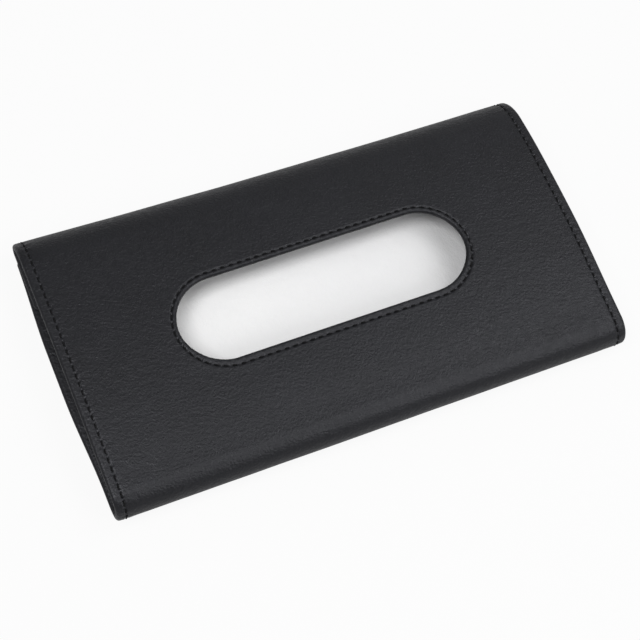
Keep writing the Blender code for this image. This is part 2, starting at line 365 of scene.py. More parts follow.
def outline_rows(start, end):
    """Row places from start to end, close together where the outline bends."""
    runs = (
        (FOLD_START, CELL),
        (CREASE + FOLD_PAST_CREASE, FOLD_CELL),
        (CROWN_END, CELL),
        (SHOULDER_END, SHOULDER_CELL),
        (LIP_START, LIP_FOLD_CELL),
        (LIP_END, CELL),
    )
    rows = [start]
    for run, cell in runs:
        if rows[-1] < min(run, end):
            rows += steps_to(rows[-1], min(run, end), cell)
    return rows


class Block:
    """Whole cells that are left out of a sheet for the window and its collar."""

    def __init__(self, half_width, reach):
        column = half_width / round(half_width / CELL)
        self.reach = reach
        self.half_columns = math.ceil((WINDOW_LENGTH / 2 + reach) / column)
        self.half_rows = math.ceil((WINDOW_END_RADIUS + reach) / CELL)
        self.straight_columns = round(WINDOW_END_CENTRE / column)
        self.half_width = self.half_columns * column
        self.low = WINDOW_MIDDLE - self.half_rows * CELL
        self.high = WINDOW_MIDDLE + self.half_rows * CELL

    def holds(self, place, margin=0.0):
        across = abs(place.y) < self.half_width + margin
        return across and self.low - margin < place.x < self.high + margin


def window_rows(start, end, block):
    """Row places from start to end, with rows along the window's block."""
    rows = outline_rows(start, block.low)
    rows += steps_to(block.low, block.high, CELL)
    return rows + outline_rows(block.high, end)[1:]


def lay_sheet(name, half_width, rows, depth):
    """Flat sheet of the layer's middle surface: one strip, extruded row by row."""
    columns = 2 * round(half_width / CELL)
    first = rows[1] - rows[0]
    place = (rows[0] + first / 2, 0, depth)
    bpy.ops.mesh.primitive_grid_add(
        x_subdivisions=1, y_subdivisions=columns, size=1, location=place
    )
    sheet = bpy.context.object
    sheet.scale = (first, 2 * half_width, 1)
    set_down(sheet, name)
    bm = edit(sheet, "EDGE")
    limit = rows[1] - first / 4
    choose(bm.edges, lambda edge: all(vert.co.x > limit for vert in edge.verts))
    for before, after in zip(rows[1:], rows[2:]):
        bpy.ops.mesh.extrude_region_move(TRANSFORM_OT_translate={"value": (after - before, 0, 0)})
    close(sheet)
    return sheet


def hem_turn():
    """Setback from the turned edge and depth, round the board's edge."""
    turn = []
    for k in range(HEM_STEPS + 1):
        angle = math.pi * k / HEM_STEPS
        setback = HEM_RADIUS - HEM_MID_RADIUS * math.sin(angle)
        turn.append((setback, LEATHER_DEPTH + HEM_MID_RADIUS * (1 - math.cos(angle))))
    return turn


def refine_corners(sheet, low, high):
    """Cuts the cells at a sheet's free corners into small ones."""
    bm = edit(sheet)

    def at_corner(face):
        place = face.calc_center_median()
        near = place.x < low + CORNER_REACH or place.x > high - CORNER_REACH
        return near and abs(place.y) > FACE_END - CORNER_REACH

    choose(bm.faces, at_corner)
    bpy.ops.mesh.subdivide(number_cuts=CORNER_CUTS)
    close(sheet)


def turn_edges(sheet, start, end, free_start=False, free_end=False):
    """Turns the leatherette's edges round the board, ring by ring, with mitred corners."""
    low = start if free_start else -LENGTH
    high = end if free_end else 2 * LENGTH
    refine_corners(sheet, low, high)
    bm = edit(sheet, "EDGE")

    def is_free(edge):
        (x1, y1, _), (x2, y2, _) = (vert.co for vert in edge.verts)
        side = min(abs(y1), abs(y2)) > FACE_END - LAYER_GAP and y1 * y2 > 0
        cross = max(x1, x2) < low + LAYER_GAP or min(x1, x2) > high - LAYER_GAP
        return edge.is_boundary and (side or cross)

    choose(bm.edges, is_free)
    for setback, depth in hem_turn()[1:] + [(EDGE_HEM_WIDTH, TURN_IN_DEPTH)]:
        bpy.ops.mesh.extrude_region()
        bm = bmesh.from_edit_mesh(sheet.data)
        nearest = low - HEM_RADIUS + setback
        furthest = high + HEM_RADIUS - setback
        side = LENGTH / 2 - setback
        for vert in (v for v in bm.verts if v.select):
            x, y, _ = vert.co
            if abs(y) > FACE_END - LAYER_GAP or abs(y) > side:
                y = math.copysign(side, y)
            if x < low + LAYER_GAP or x < nearest:
                x = nearest
            if x > high - LAYER_GAP or x > furthest:
                x = furthest
            vert.co = (x, y, depth)
    bpy.ops.mesh.select_all(action="SELECT")
    bpy.ops.mesh.remove_doubles(threshold=WELD)
    close(sheet)


def round_corners(sheet, edge, way):
    """Rounds the mitred corners at one free edge as seen from above."""
    centre_x = edge - way * CORNER_RADIUS
    centre_y = LENGTH / 2 - CORNER_RADIUS
    for vert in sheet.data.vertices:
        out_x = (vert.co.x - centre_x) * way
        out_y = abs(vert.co.y) - centre_y
        if out_x > 0 and out_y > 0:
            share = max(out_x, out_y) / math.hypot(out_x, out_y)
            vert.co.x = centre_x + way * out_x * share
            vert.co.y = math.copysign(centre_y + out_y * share, vert.co.y)


def thicken(piece, thickness):
    shell = piece.modifiers.new("thickness", "SOLIDIFY")
    shell.thickness = thickness
    shell.offset = 0
    shell.use_even_offset = True
    shell.use_quality_normals = True
    apply_modifier(piece, shell)


def window_distance(x, y):
    """Distance outwards from the window's edge on the flat sheet."""
    past = max(abs(y) - WINDOW_END_CENTRE, 0)
    return math.hypot(x - WINDOW_MIDDLE, past) - WINDOW_END_RADIUS


def open_window(sheet, block):
    """Takes the window's block out of a flat sheet."""
    bm = edit(sheet)
    choose(bm.faces, lambda face: block.holds(face.calc_center_median()))
    bpy.ops.mesh.delete(type="FACE")
    close(sheet)


def lay_collar(rings, block):
    """Ring round the window: a round collar whose halves are then pulled apart.

    The rings are pairs of an offset from the window's edge and a depth, from the inside out. Its
    edges match those of the block, one to one.
    """
    arc_cells = 2 * (block.half_columns + block.half_rows - block.straight_columns)
    vertices = 2 * arc_cells + 2
    offset, depth = rings[0]
    radius = WINDOW_END_RADIUS + offset
    bpy.ops.mesh.primitive_circle_add(
        vertices=vertices,
        radius=radius,
        location=(0, 0, depth),
        rotation=(0, 0, math.pi / vertices),
    )
    collar = set_down(bpy.context.object, "window_collar")
    edit(collar, "EDGE")
    bpy.ops.mesh.select_all(action="SELECT")
    for next_offset, next_depth in rings[1:]:
        ratio = (WINDOW_END_RADIUS + next_offset) / radius
        bpy.ops.mesh.extrude_region_move(
            TRANSFORM_OT_translate={"value": (0, 0, next_depth - depth)}
        )
        bpy.ops.transform.resize(value=(ratio, ratio, 1), center_override=(0, 0, next_depth))
        radius *= ratio
        depth = next_depth
    close(collar)
    for vert in collar.data.vertices:
        vert.co.y += math.copysign(WINDOW_END_CENTRE, vert.co.y)
        vert.co.x += WINDOW_MIDDLE
    bm = edit(collar, "EDGE")
    choose(bm.edges, lambda edge: edge.verts[0].co.y * edge.verts[1].co.y < 0)
    bpy.ops.mesh.subdivide(number_cuts=2 * block.straight_columns - 1)
    close(collar)
    return collar


def around_window(place):
    """Turn about the window's middle, for putting places in order round it."""
    return (math.atan2(place.y, place.x - WINDOW_MIDDLE) + LINE_STEP) % (2 * math.pi)


def set_in_collar(sheet, rings, block):
    """Opens the window in a flat sheet and joins its edge to a collar, corner to corner."""
    open_window(sheet, block)
    joined = join([sheet, lay_collar(rings, block)])
    bm = edit(joined, "EDGE")
    depth = rings[-1][1]

    def level(vert):
        return vert.is_boundary and abs(vert.co.z - depth) < LAYER_GAP

    def on_collar(vert):
        reach = window_distance(vert.co.x, vert.co.y)
        return level(vert) and abs(reach - block.reach) < LAYER_GAP

    def on_sheet(vert):
        reach = window_distance(vert.co.x, vert.co.y)
        return level(vert) and reach > block.reach + LAYER_GAP and block.holds(vert.co, LAYER_GAP)

    targets = sorted((v.co.copy() for v in bm.verts if on_sheet(v)), key=around_window)
    choose(bm.edges, lambda edge: edge.is_boundary and all(on_collar(v) for v in edge.verts))
    bpy.ops.mesh.extrude_region()
    bm = bmesh.from_edit_mesh(joined.data)
    ring = sorted((v for v in bm.verts if v.select), key=lambda vert: around_window(vert.co))
    for vert, target in zip(ring, targets, strict=True):
        vert.co = target
    bpy.ops.mesh.select_all(action="SELECT")
    bpy.ops.mesh.remove_doubles(threshold=WELD)
    bpy.ops.mesh.normals_make_consistent(inside=False)
    close(joined)
    return joined


def refine(piece, level, test, cuts):
    """Cuts into small ones the cells of the face at this level that pass the test."""
    bm = edit(piece)

    def picked(face):
        middle = face.calc_center_median()
        flat = abs(middle.z - level) < SAME_LEVEL
        return flat and len(face.verts) == 4 and test(middle.x, middle.y)

    choose(bm.faces, picked)
    bpy.ops.mesh.subdivide(number_cuts=cuts)
    close(piece)


# Bending the layers into shape


def draw_outline():
    """Curve along the wrap's outline, along which the flat layers are bent."""
    curve = bpy.data.curves.new("outline", "CURVE")
    curve.dimensions = "3D"
    curve.twist_mode = "MINIMUM"
    steps = round(LIP_END / LINE_STEP)
    spline = curve.splines.new("POLY")
    spline.points.add(steps)
    for k, point in enumerate(spline.points):
        point.co = (*section_at(LIP_END * k / steps), 1)
    line = bpy.data.objects.new("outline", curve)
    bpy.context.scene.collection.objects.link(line)
    return line


def bow_end(piece, start, end, side, amount):
    """Lets one end of a leaf stand out a little in the middle: the left end at side -1."""
    for vert in piece.data.vertices:
        across = ease((vert.co.x - start) / BOW_RISE) * ease((end - vert.co.x) / BOW_RISE)
        out = ease((side * vert.co.y - BOW_START) / (LENGTH / 2 - BOW_START))
        vert.co.y += side * amount * across * out


def lean_rim(piece):
    """Lets the near side of the window's rim lean into the window."""
    for vert in piece.data.vertices:
        x, y, z = vert.co
        distance = window_distance(x, y)
        if z < HEM_RADIUS:
            share = ease((RIM_LEAN_START - distance) / RIM_LEAN_RISE)
        else:
            share = ease((WINDOW_HEM_WIDTH - distance) / RIM_LEAN_RISE_INSIDE)
        near_side = RIM_LEAN_MIDDLE + (WINDOW_MIDDLE - x) / WINDOW_END_RADIUS
        vert.co.x += RIM_LEAN * share * ease(near_side)


def bow_back(piece):
    bow_end(piece, 0, BACK_JOINT, -1, LEFT_BOW)


def bow_front(piece):
    bow_end(piece, FRONT_JOINT, LIP_START, 1, RIGHT_BOW)


def fold(piece):
    """Bends a flat piece along the wrap's outline, and lets its far fold run out of line."""
    bend = piece.modifiers.new("fold", "CURVE")
    bend.object = outline
    bend.deform_axis = "POS_X"
    apply_modifier(piece, bend)
    if piece.name.startswith(("back", "white")):
        return piece
    for vert in piece.data.vertices:
        x, y, _ = vert.co
        reach = ease((y - STRAY_START) / (WIDTH / 2 - STRAY_START))
        vert.co.y += reach * (STRAY_MIDDLE + STRAY_SLOPE * x + STRAY_CURVE * x * x)
    return piece


# Sewing lines on the flat sheet


def line_stitches(start, end):
    """Middles of the stitches along a straight line, with their direction."""
    start, end = Vector(start), Vector(end)
    count = round((end - start).length / STITCH_PITCH)
    heading = math.atan2(end.y - start.y, end.x - start.x)
    step = (end - start) / count
    return [(start + step * (k + 0.5), heading) for k in range(count)]


def window_stitches():
    """Middles of the stitches round the window, with their direction."""
    radius = WINDOW_END_RADIUS + STITCH_FROM_WINDOW
    straight = 2 * WINDOW_END_CENTRE
    half = straight + math.pi * radius
    count = round(2 * half / STITCH_PITCH)
    places = []
    for k in range(count):
        distance = 2 * half * k / count
        side = 1
        if distance >= half:
            distance -= half
            side = -1
        if distance < straight:
            x, y, heading = radius, distance - WINDOW_END_CENTRE, math.pi / 2
        else:
            angle = (distance - straight) / radius
            x = radius * math.cos(angle)
            y = WINDOW_END_CENTRE + radius * math.sin(angle)
            heading = math.pi / 2 + angle
        places.append((Vector((WINDOW_MIDDLE + side * x, side * y)), heading))
    return places


def edge_stitches():
    near, far = -SEW_LINE_END, SEW_LINE_END
    first, last = STITCH_FROM_EDGE, SEW_LINE_LIP
    lines = (
        ((first, near), (last, near)),
        ((first, far), (last, far)),
        ((first, near), (first, far)),
        ((last, near), (last, far)),
    )
    return [stitch for start, end in lines for stitch in line_stitches(start, end)]


def near_edge_seam(x, y):
    at_end = abs(abs(y) - SEW_LINE_END) < CELL
    return at_end or abs(x - STITCH_FROM_EDGE) < CELL or abs(x - SEW_LINE_LIP) < CELL


def near_window_seam(x, y):
    return abs(window_distance(x, y) - STITCH_FROM_WINDOW) < CELL


def seam_sink(x, y, stitches):
    """Depth that the sewing pulls the leatherette's face down to, at one place."""
    groove = hole = pucker = 0
    for middle, heading in stitches:
        cos, sin = math.cos(heading), math.sin(heading)
        along = (x - middle.x) * cos + (y - middle.y) * sin
        across = (y - middle.y) * cos - (x - middle.x) * sin
        if abs(along) > STITCH_PITCH or abs(across) > STITCH_PITCH:
            continue
        if abs(along) < GROOVE_REACH:
            groove = max(groove, bell(across, GROOVE_WIDTH))
        end = abs(abs(along) - STITCH_LENGTH / 2)
        hole = max(hole, bell(math.hypot(end, across), HOLE_WIDTH))
        ridge = bell(abs(across) - PUCKER_FROM_LINE, PUCKER_WIDTH) * bell(along, PUCKER_LENGTH)
        pucker = max(pucker, ridge)
    return GROOVE_DEPTH * groove + HOLE_DEPTH * hole - PUCKER_HEIGHT * pucker


def sew_down(piece, near, stitches):
    """Sinks the leatherette's face along the sewing lines, deepest at the needle holes."""
    cell = 2 * STITCH_PITCH
    boxes = {}
    for middle, heading in stitches:
        key = (round(middle.x / cell), round(middle.y / cell))
        boxes.setdefault(key, []).append((middle, heading))
    for vert in piece.data.vertices:
        x, y, z = vert.co
        if abs(z) > SAME_LEVEL or not near(x, y):
            continue
        column, row = round(x / cell), round(y / cell)
        around = [(column + a, row + b) for a in (-1, 0, 1) for b in (-1, 0, 1)]
        nearby = [stitch for key in around for stitch in boxes.get(key, ())]
        vert.co.z += seam_sink(x, y, nearby)


def swell(piece):
    """Lets the leatherette's face stand up softly and unevenly between the seams."""
    for vert in piece.data.vertices:
        x, y, z = vert.co
        if abs(z) > SAME_LEVEL:
            continue
        room = min(SEW_LINE_END - abs(y), x - STITCH_FROM_EDGE, SEW_LINE_LIP - x)
        room = min(room, window_distance(x, y) - STITCH_FROM_WINDOW)
        room = min(room, abs(x - BACK_JOINT), abs(x - FRONT_JOINT))
        if room <= 0:
            continue
        height = 1 + SWELL_UNEVENNESS * unevenness(x, y, SWELL_WAVES)
        vert.co.z -= FACE_SWELL * ease(room / SWELL_RISE) * height


# The leatherette


def face_rings():
    rings = [(WINDOW_HEM_WIDTH, TURN_IN_DEPTH)] + hem_turn()[::-1]
    return rings + [(SEWN_RING, LEATHER_DEPTH), (COLLAR_REACH, LEATHER_DEPTH)]


def make_back_leather():
    start = HEM_RADIUS
    piece = lay_sheet("back_leather", FACE_END, outline_rows(start, BACK_JOINT), LEATHER_DEPTH)
    turn_edges(piece, start, BACK_JOINT, free_start=True)
    thicken(piece, LEATHER)
    round_corners(piece, start - HEM_RADIUS, -1)
    refine(piece, 0, lambda x, y: abs(y) > FACE_END - CELL or x < start + CELL, SEAM_CUTS)
    swell(piece)
    sew_down(piece, near_edge_seam, edge_line)
    bow_back(piece)
    return fold(piece)


def make_fold_leather():
    rows = outline_rows(BACK_JOINT, FRONT_JOINT)
    piece = lay_sheet("fold_leather", FACE_END, rows, LEATHER_DEPTH)
    turn_edges(piece, BACK_JOINT, FRONT_JOINT)
    thicken(piece, LEATHER)
    refine(piece, 0, lambda x, y: abs(y) > FACE_END - CELL, SEAM_CUTS)
    swell(piece)
    sew_down(piece, near_edge_seam, edge_line)
    return fold(piece)


def make_front_leather():
    end = LIP_END - HEM_RADIUS
    block = Block(FACE_END, COLLAR_REACH)
    rows = window_rows(FRONT_JOINT, end, block)
    piece = lay_sheet("front_leather", FACE_END, rows, LEATHER_DEPTH)
    turn_edges(piece, FRONT_JOINT, end, free_end=True)
    piece = set_in_collar(piece, face_rings(), block)
    thicken(piece, LEATHER)
    round_corners(piece, end + HEM_RADIUS, 1)
    refine(piece, 0, lambda x, y: abs(y) > FACE_END - CELL or x > end - CELL, SEAM_CUTS)
    refine(piece, 0, lambda x, y: 0 < window_distance(x, y) < SEWN_RING, SEAM_CUTS)
    swell(piece)
    sew_down(
        piece,
        lambda x, y: near_edge_seam(x, y) or near_window_seam(x, y),
        edge_line + window_line,
    )
    lean_rim(piece)
    bow_front(piece)
    return fold(piece)


# The linings


def wrinkle(piece):
    """Lets the white lining lie unevenly, with a few soft creases."""
    level = LINING_DEPTH + LINING / 2
    for vert in piece.data.vertices:
        x, y, z = vert.co
        if abs(z - level) < SAME_LEVEL:
            vert.co.z += LINING_WRINKLE * (unevenness(x, y, LINING_WAVES) + 0.5)


def make_white_lining():
    start = LINING_FROM_EDGE
    rows = outline_rows(start, BACK_JOINT)
    piece = lay_sheet("white_back_lining", LINING_END, rows, LINING_DEPTH)
    thicken(piece, LINING)
    inner_face = LINING_DEPTH + LINING / 2
    refine(piece, inner_face, lambda x, y: abs(y) < WRINKLED_TO, WRINKLE_CUTS)
    wrinkle(piece)
    return fold(piece)


def make_fold_lining():
    rows = outline_rows(BACK_JOINT, FRONT_JOINT)
    piece = lay_sheet("black_fold_lining", LINING_END, rows, LINING_DEPTH)
    thicken(piece, LINING)
    return fold(piece)


def make_front_lining():
    block = Block(LINING_END, LINING_COLLAR_REACH)
    rows = window_rows(FRONT_JOINT, LIP_END - LINING_FROM_EDGE, block)
    piece = lay_sheet("black_front_lining", LINING_END, rows, LINING_DEPTH)
    rings = [(WINDOW_HEM_WIDTH + LAYER_GAP, LINING_DEPTH), (LINING_COLLAR_REACH, LINING_DEPTH)]
    piece = set_in_collar(piece, rings, block)
    thicken(piece, LINING)
    return fold(piece)


# The threads


def model_stitch(length):
    """One stitch along +X, proud of a face at zero, its ends dipping to +Z into the holes."""
    bpy.ops.mesh.primitive_cylinder_add(
        vertices=THREAD_SIDES,
        radius=THREAD_RADIUS,
        depth=length,
        end_fill_type="TRIFAN",
        rotation=(0, math.pi / 2, 0),
    )
    stitch = set_down(bpy.context.object, "stitch")
    edit(stitch, "EDGE")
    for k in range(1, STITCH_PARTS):
        cut = length * (k / STITCH_PARTS - 0.5)
        bpy.ops.mesh.select_all(action="SELECT")
        bpy.ops.mesh.bisect(plane_co=(cut, 0, 0), plane_no=(1, 0, 0))
    close(stitch)
    for vert in stitch.data.vertices:
        share = abs(2 * vert.co.x / length) ** 3
        vert.co.y *= 1 - STITCH_TAPER * share
        vert.co.z = vert.co.z * (1 - STITCH_TAPER * share) + STITCH_DIP * share
    return stitch


def copy_stitch(stitch, place, heading, level=0.0, turned=False):
    """A copy of the stitch at a place on the flat sheet, or turned over onto the inner side."""
    copy = stitch.copy()
    copy.data = stitch.data.copy()
    bpy.context.scene.collection.objects.link(copy)
    slanted = heading + STITCH_SLANT
    cos, sin = math.cos(slanted), math.sin(slanted)
    for vert in copy.data.vertices:
        x, y, z = vert.co
        if turned:
            y, z = -y, -z
        vert.co = (place.x + cos * x - sin * y, place.y + sin * x + cos * y, level + z)
    return copy


def join_stitches(name, copies, stitch):
    """Joins a stitch's copies into one thread, and removes the stitch itself."""
    thread = join(copies)
    thread.name = name
    thread.data.name = name
    bpy.data.objects.remove(stitch)
    return thread


def make_thread(name, stitches, bow=None):
    """Thread along a sewing line, on the outer and on the inner side."""
    stitch = model_stitch(STITCH_LENGTH)
    copies = []
    for place, heading in stitches:
        copies.append(copy_stitch(stitch, place, heading))
        copies.append(copy_stitch(stitch, place, heading, HEM_THICKNESS, turned=True))
    thread = join_stitches(name, copies, stitch)
    if bow:
        bow(thread)
    return fold(thread)


# The elastic bands


def make_band(node, name):
    """Woven band, lying along the back leaf, raised to it and sewn down at both ends."""
    low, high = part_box(node)
    middle = (low + high) / 2
    size = high - low
    gap = BACK_Z - high.z
    bpy.ops.mesh.primitive_grid_add(
        x_subdivisions=BAND_CELLS_ACROSS,
        y_subdivisions=BAND_CELLS_ALONG,
        size=1,
        location=middle,
    )
    band = bpy.context.object
    band.scale = (size.x, size.y, 1)
    set_down(band, name)
    thicken(band, size.z)
    soft_edge = band.modifiers.new("soft_edge", "BEVEL")
    soft_edge.width = size.z / 4
    soft_edge.segments = 3
    soft_edge.limit_method = "ANGLE"
    apply_modifier(band, soft_edge)
    for vert in band.data.vertices:
        from_end = size.y / 2 - abs(vert.co.y - middle.y)
        rise = gap * (1 - ease(from_end / BAND_RISE_LENGTH))
        pinch = sum(bell(from_end - row, BAND_PINCH_WIDTH) for row in BAND_STITCH_ROWS)
        under = (high.z - vert.co.z) / size.z
        edge = bell(size.x / 2 - abs(vert.co.x - middle.x), SELVEDGE_WIDTH)
        wave = math.sin(SELVEDGE_WAVE_RATE * vert.co.y)
        vert.co.z += rise + BAND_PINCH * pinch * under
        vert.co.x += SELVEDGE_WAVE * edge * wave
    thread = sew_band(name + "_thread", low, high, gap)
    return band, thread


def sew_band(name, low, high, gap):
    """Two rows of thread across each end of a band."""
    middle = (low + high) / 2
    half = (high - low) / 2
    stitch = model_stitch(BAND_STITCH_LENGTH)
    count = int((2 * half.x - BAND_UNSEWN_WIDTH) / BAND_STITCH_PITCH)
    copies = []
    for way in (-1, 1):
        for row in BAND_STITCH_ROWS:
            rise = gap * (1 - ease(row / BAND_RISE_LENGTH)) + BAND_PINCH
            for k in range(count):
                x = middle.x + (k - (count - 1) / 2) * BAND_STITCH_PITCH
                place = Vector((x, middle.y + way * (half.y - row)))
                copies.append(copy_stitch(stitch, place, 0, low.z + rise))
    return join_stitches(name, copies, stitch)


# Finishes


class Finish:
    """A surface finish, built from nodes on the object's own coordinates."""

    def __init__(self, name):
        self.material = bpy.data.materials.new(name)
        self.material.use_nodes = True
        self.nodes = self.material.node_tree.nodes
        self.shader = self.nodes["Principled BSDF"]
        self.place = self.nodes.new("ShaderNodeTexCoord").outputs["Object"]
        self.bump = None

    def set(self, **values):
        for name, value in values.items():
            self.shader.inputs[name.replace("_", " ")].default_value = value

    def join(self, start, end):
        self.material.node_tree.links.new(start, end)

    def mapped(self, scale, turn=0.0):
        """The coordinates, turned about Z and shrunk along the turned axes."""
        mapping = self.nodes.new("ShaderNodeMapping")
        mapping.vector_type = "TEXTURE"
        mapping.inputs["Scale"].default_value = scale
        mapping.inputs["Rotation"].default_value = (0, 0, turn)
        self.join(self.place, mapping.inputs["Vector"])
        return mapping.outputs["Vector"]

    def noise(self, scale, detail=2.0, roughness=0.5, place=None):
        texture = self.nodes.new("ShaderNodeTexNoise")
        texture.inputs["Scale"].default_value = scale
        texture.inputs["Detail"].default_value = detail
        texture.inputs["Roughness"].default_value = roughness
        self.join(place or self.place, texture.inputs["Vector"])
        return texture.outputs["Fac"]

    def cells(self, scale):
        """Distance to the edge of the cell that a place lies in."""
        texture = self.nodes.new("ShaderNodeTexVoronoi")
        texture.feature = "DISTANCE_TO_EDGE"
        texture.inputs["Scale"].default_value = scale
        self.join(self.place, texture.inputs["Vector"])
        return texture.outputs["Distance"]

    def waves(self, scale, direction, distortion=0.0):
        texture = self.nodes.new("ShaderNodeTexWave")
        texture.bands_direction = direction
        texture.inputs["Scale"].default_value = scale
        texture.inputs["Distortion"].default_value = distortion
        self.join(self.place, texture.inputs["Vector"])
        return texture.outputs["Fac"]

    def spread(self, value, low, high, start=0.0, end=1.0):
        """Maps a value's range from start to end onto low to high."""
        node = self.nodes.new("ShaderNodeMapRange")
        node.inputs["From Min"].default_value = start
        node.inputs["From Max"].default_value = end
        node.inputs["To Min"].default_value = low
        node.inputs["To Max"].default_value = high
        self.join(value, node.inputs["Value"])
        return node.outputs["Result"]

    def combine(self, operation, first, second):
        node = self.nodes.new("ShaderNodeMath")
        node.operation = operation
        self.join(first, node.inputs[0])
        self.join(second, node.inputs[1])
        return node.outputs["Value"]

    def tint(self, value, dark, light, low=NOISE_LOW, high=NOISE_HIGH):
        """Colours the surface between two tones by a value."""
        ramp = self.nodes.new("ShaderNodeValToRGB")
        ramp.color_ramp.elements[0].position = low
        ramp.color_ramp.elements[0].color = (*dark, 1)
        ramp.color_ramp.elements[1].position = high
        ramp.color_ramp.elements[1].color = (*light, 1)
        self.join(value, ramp.inputs["Fac"])
        self.join(ramp.outputs["Color"], self.shader.inputs["Base Color"])

    def roughen(self, value, low, high):
        roughness = self.spread(value, low, high, NOISE_LOW, NOISE_HIGH)
        self.join(roughness, self.shader.inputs["Roughness"])

    def emboss(self, height, distance, strength):
        """Adds relief, in metres, on top of the relief so far."""
        node = self.nodes.new("ShaderNodeBump")
        node.inputs["Distance"].default_value = distance
        node.inputs["Strength"].default_value = strength
        self.join(height, node.inputs["Height"])
        if self.bump:
            self.join(self.bump.outputs["Normal"], node.inputs["Normal"])
        self.join(node.outputs["Normal"], self.shader.inputs["Normal"])
        self.bump = node


def black_leatherette():
    finish = Finish("black_leatherette")
    finish.set(Specular_IOR_Level=0.42, Specular_Tint=(0.93, 0.94, 1, 1))
    along = finish.mapped((2.4, 1, 1), math.radians(-19))
    pebbles = finish.spread(finish.cells(640), 0, 1, end=0.3)
    finish.tint(finish.noise(42, 3), (0.005, 0.0051, 0.0061), (0.0068, 0.007, 0.0085))
    finish.roughen(finish.noise(420, 3, 0.6), 0.38, 0.52)
    finish.emboss(finish.noise(120, 3), distance=0.0003, strength=0.5)
    finish.emboss(finish.noise(620, 3, 0.6, along), distance=0.00024, strength=0.7)
    finish.emboss(finish.noise(860, 2, 0.6), distance=0.00022, strength=0.8)
    finish.emboss(pebbles, distance=0.00006, strength=0.8)
    return finish.material


def white_leatherette():
    """The lining. Its colour darkens a little towards the right end, which is painted falloff of
    light over a random tone.
    """
    finish = Finish("white_leatherette")
    finish.set(Specular_IOR_Level=0.2)
    along = finish.mapped((1, 2.5, 1), math.radians(20))
    grain = finish.spread(finish.cells(900), 0, 1, end=0.25)
    across = finish.nodes.new("ShaderNodeSeparateXYZ")
    finish.join(finish.place, across.inputs["Vector"])
    # Painted falloff of light: the base colour darkens towards +X, the lining's right end
    painted_light_falloff = finish.spread(across.outputs["X"], 0.3, -0.2, -0.05, 0.06)
    tone = finish.combine("ADD", finish.noise(16, 2), painted_light_falloff)
    finish.tint(tone, (0.87, 0.87, 0.875), (0.925, 0.925, 0.925))
    finish.roughen(finish.noise(60, 2), 0.55, 0.7)
    finish.emboss(finish.noise(45, 2, place=along), distance=0.0008, strength=0.6)
    finish.emboss(finish.noise(260, 3, 0.6, along), distance=0.0005, strength=0.8)
    finish.emboss(grain, distance=0.00005, strength=0.8)
    return finish.material


def black_lining_cloth():
    finish = Finish("black_lining_cloth")
    weave = finish.combine("MULTIPLY", finish.waves(520, "X"), finish.waves(520, "Y"))
    finish.tint(finish.noise(900, 2), (0.012, 0.012, 0.013), (0.026, 0.026, 0.028))
    finish.roughen(finish.noise(200), 0.8, 0.95)
    finish.set(Sheen_Weight=0.15, Sheen_Roughness=0.5)
    finish.emboss(weave, distance=0.00008, strength=0.7)
    return finish.material


def black_thread():
    finish = Finish("black_thread")
    finish.set(Specular_IOR_Level=0.2)
    finish.tint(finish.noise(2500, 2), (0.002, 0.002, 0.0022), (0.006, 0.006, 0.0065))
    finish.roughen(finish.noise(1200), 0.7, 0.85)
    finish.emboss(finish.noise(6000, 2), distance=0.00004, strength=0.7)
    return finish.material


def woven_elastic():
    finish = Finish("woven_elastic")
    ribs = finish.waves(290, "X")
    rungs = finish.waves(420, "Y", 0.6)
    weave = finish.combine("MULTIPLY", ribs, finish.spread(rungs, 0.55, 1))
    finish.tint(weave, (0.007, 0.007, 0.0075), (0.024, 0.024, 0.026), 0.1, 0.9)
    finish.roughen(finish.noise(300), 0.7, 0.85)
    finish.set(Sheen_Weight=0.2, Sheen_Roughness=0.4)
    finish.emboss(weave, distance=0.00018, strength=0.8)
    return finish.material


def grey_board():
    finish = Finish("grey_board")
    fibres = finish.noise(700, 4, 0.7, finish.mapped((1, 4, 1), math.radians(20)))
    finish.tint(fibres, (0.24, 0.225, 0.2), (0.36, 0.34, 0.31))
    finish.roughen(finish.noise(400), 0.85, 0.95)
    finish.emboss(fibres, distance=0.00006, strength=0.6)
    return finish.material


def plated_magnet():
    finish = Finish("plated_magnet")
    finish.set(Metallic=1.0)
    finish.tint(finish.noise(300, 3), (0.56, 0.56, 0.55), (0.68, 0.68, 0.66))
    finish.roughen(finish.noise(500, 3), 0.24, 0.4)
    finish.emboss(finish.noise(1500, 2), distance=0.00001, strength=0.5)
    return finish.material


def give(piece, material):
    """Puts a finish on all of a piece or a CAD node."""
    piece.data.materials.clear()
    piece.data.materials.append(material)


# The holder's pieces

outline = draw_outline()
edge_line = edge_stitches()
window_line = window_stitches()
before_fold = [s for s in edge_line if s[0].x < FOLD_START]
past_crease = [s for s in edge_line if s[0].x > CREASE + FOLD_PAST_CREASE]
at_fold = [s for s in edge_line if s not in before_fold and s not in past_crease]

back_leather = make_back_leather()
fold_leather = make_fold_leather()
front_leather = make_front_leather()
white_back_lining = make_white_lining()
black_fold_lining = make_fold_lining()
black_front_lining = make_front_lining()
back_thread = make_thread("back_thread", before_fold, bow_back)
fold_thread = make_thread("fold_thread", at_fold)
front_thread = make_thread("front_thread", past_crease, bow_front)
window_thread = make_thread("window_thread", window_line)
bpy.data.objects.remove(outline)
band_left, band_left_thread = make_band("visor_band_left", "elastic_band_left")
band_right, band_right_thread = make_band("visor_band_right", "elastic_band_right")

leather = black_leatherette()
cloth = black_lining_cloth()
thread = black_thread()
elastic = woven_elastic()
board = grey_board()
plating = plated_magnet()

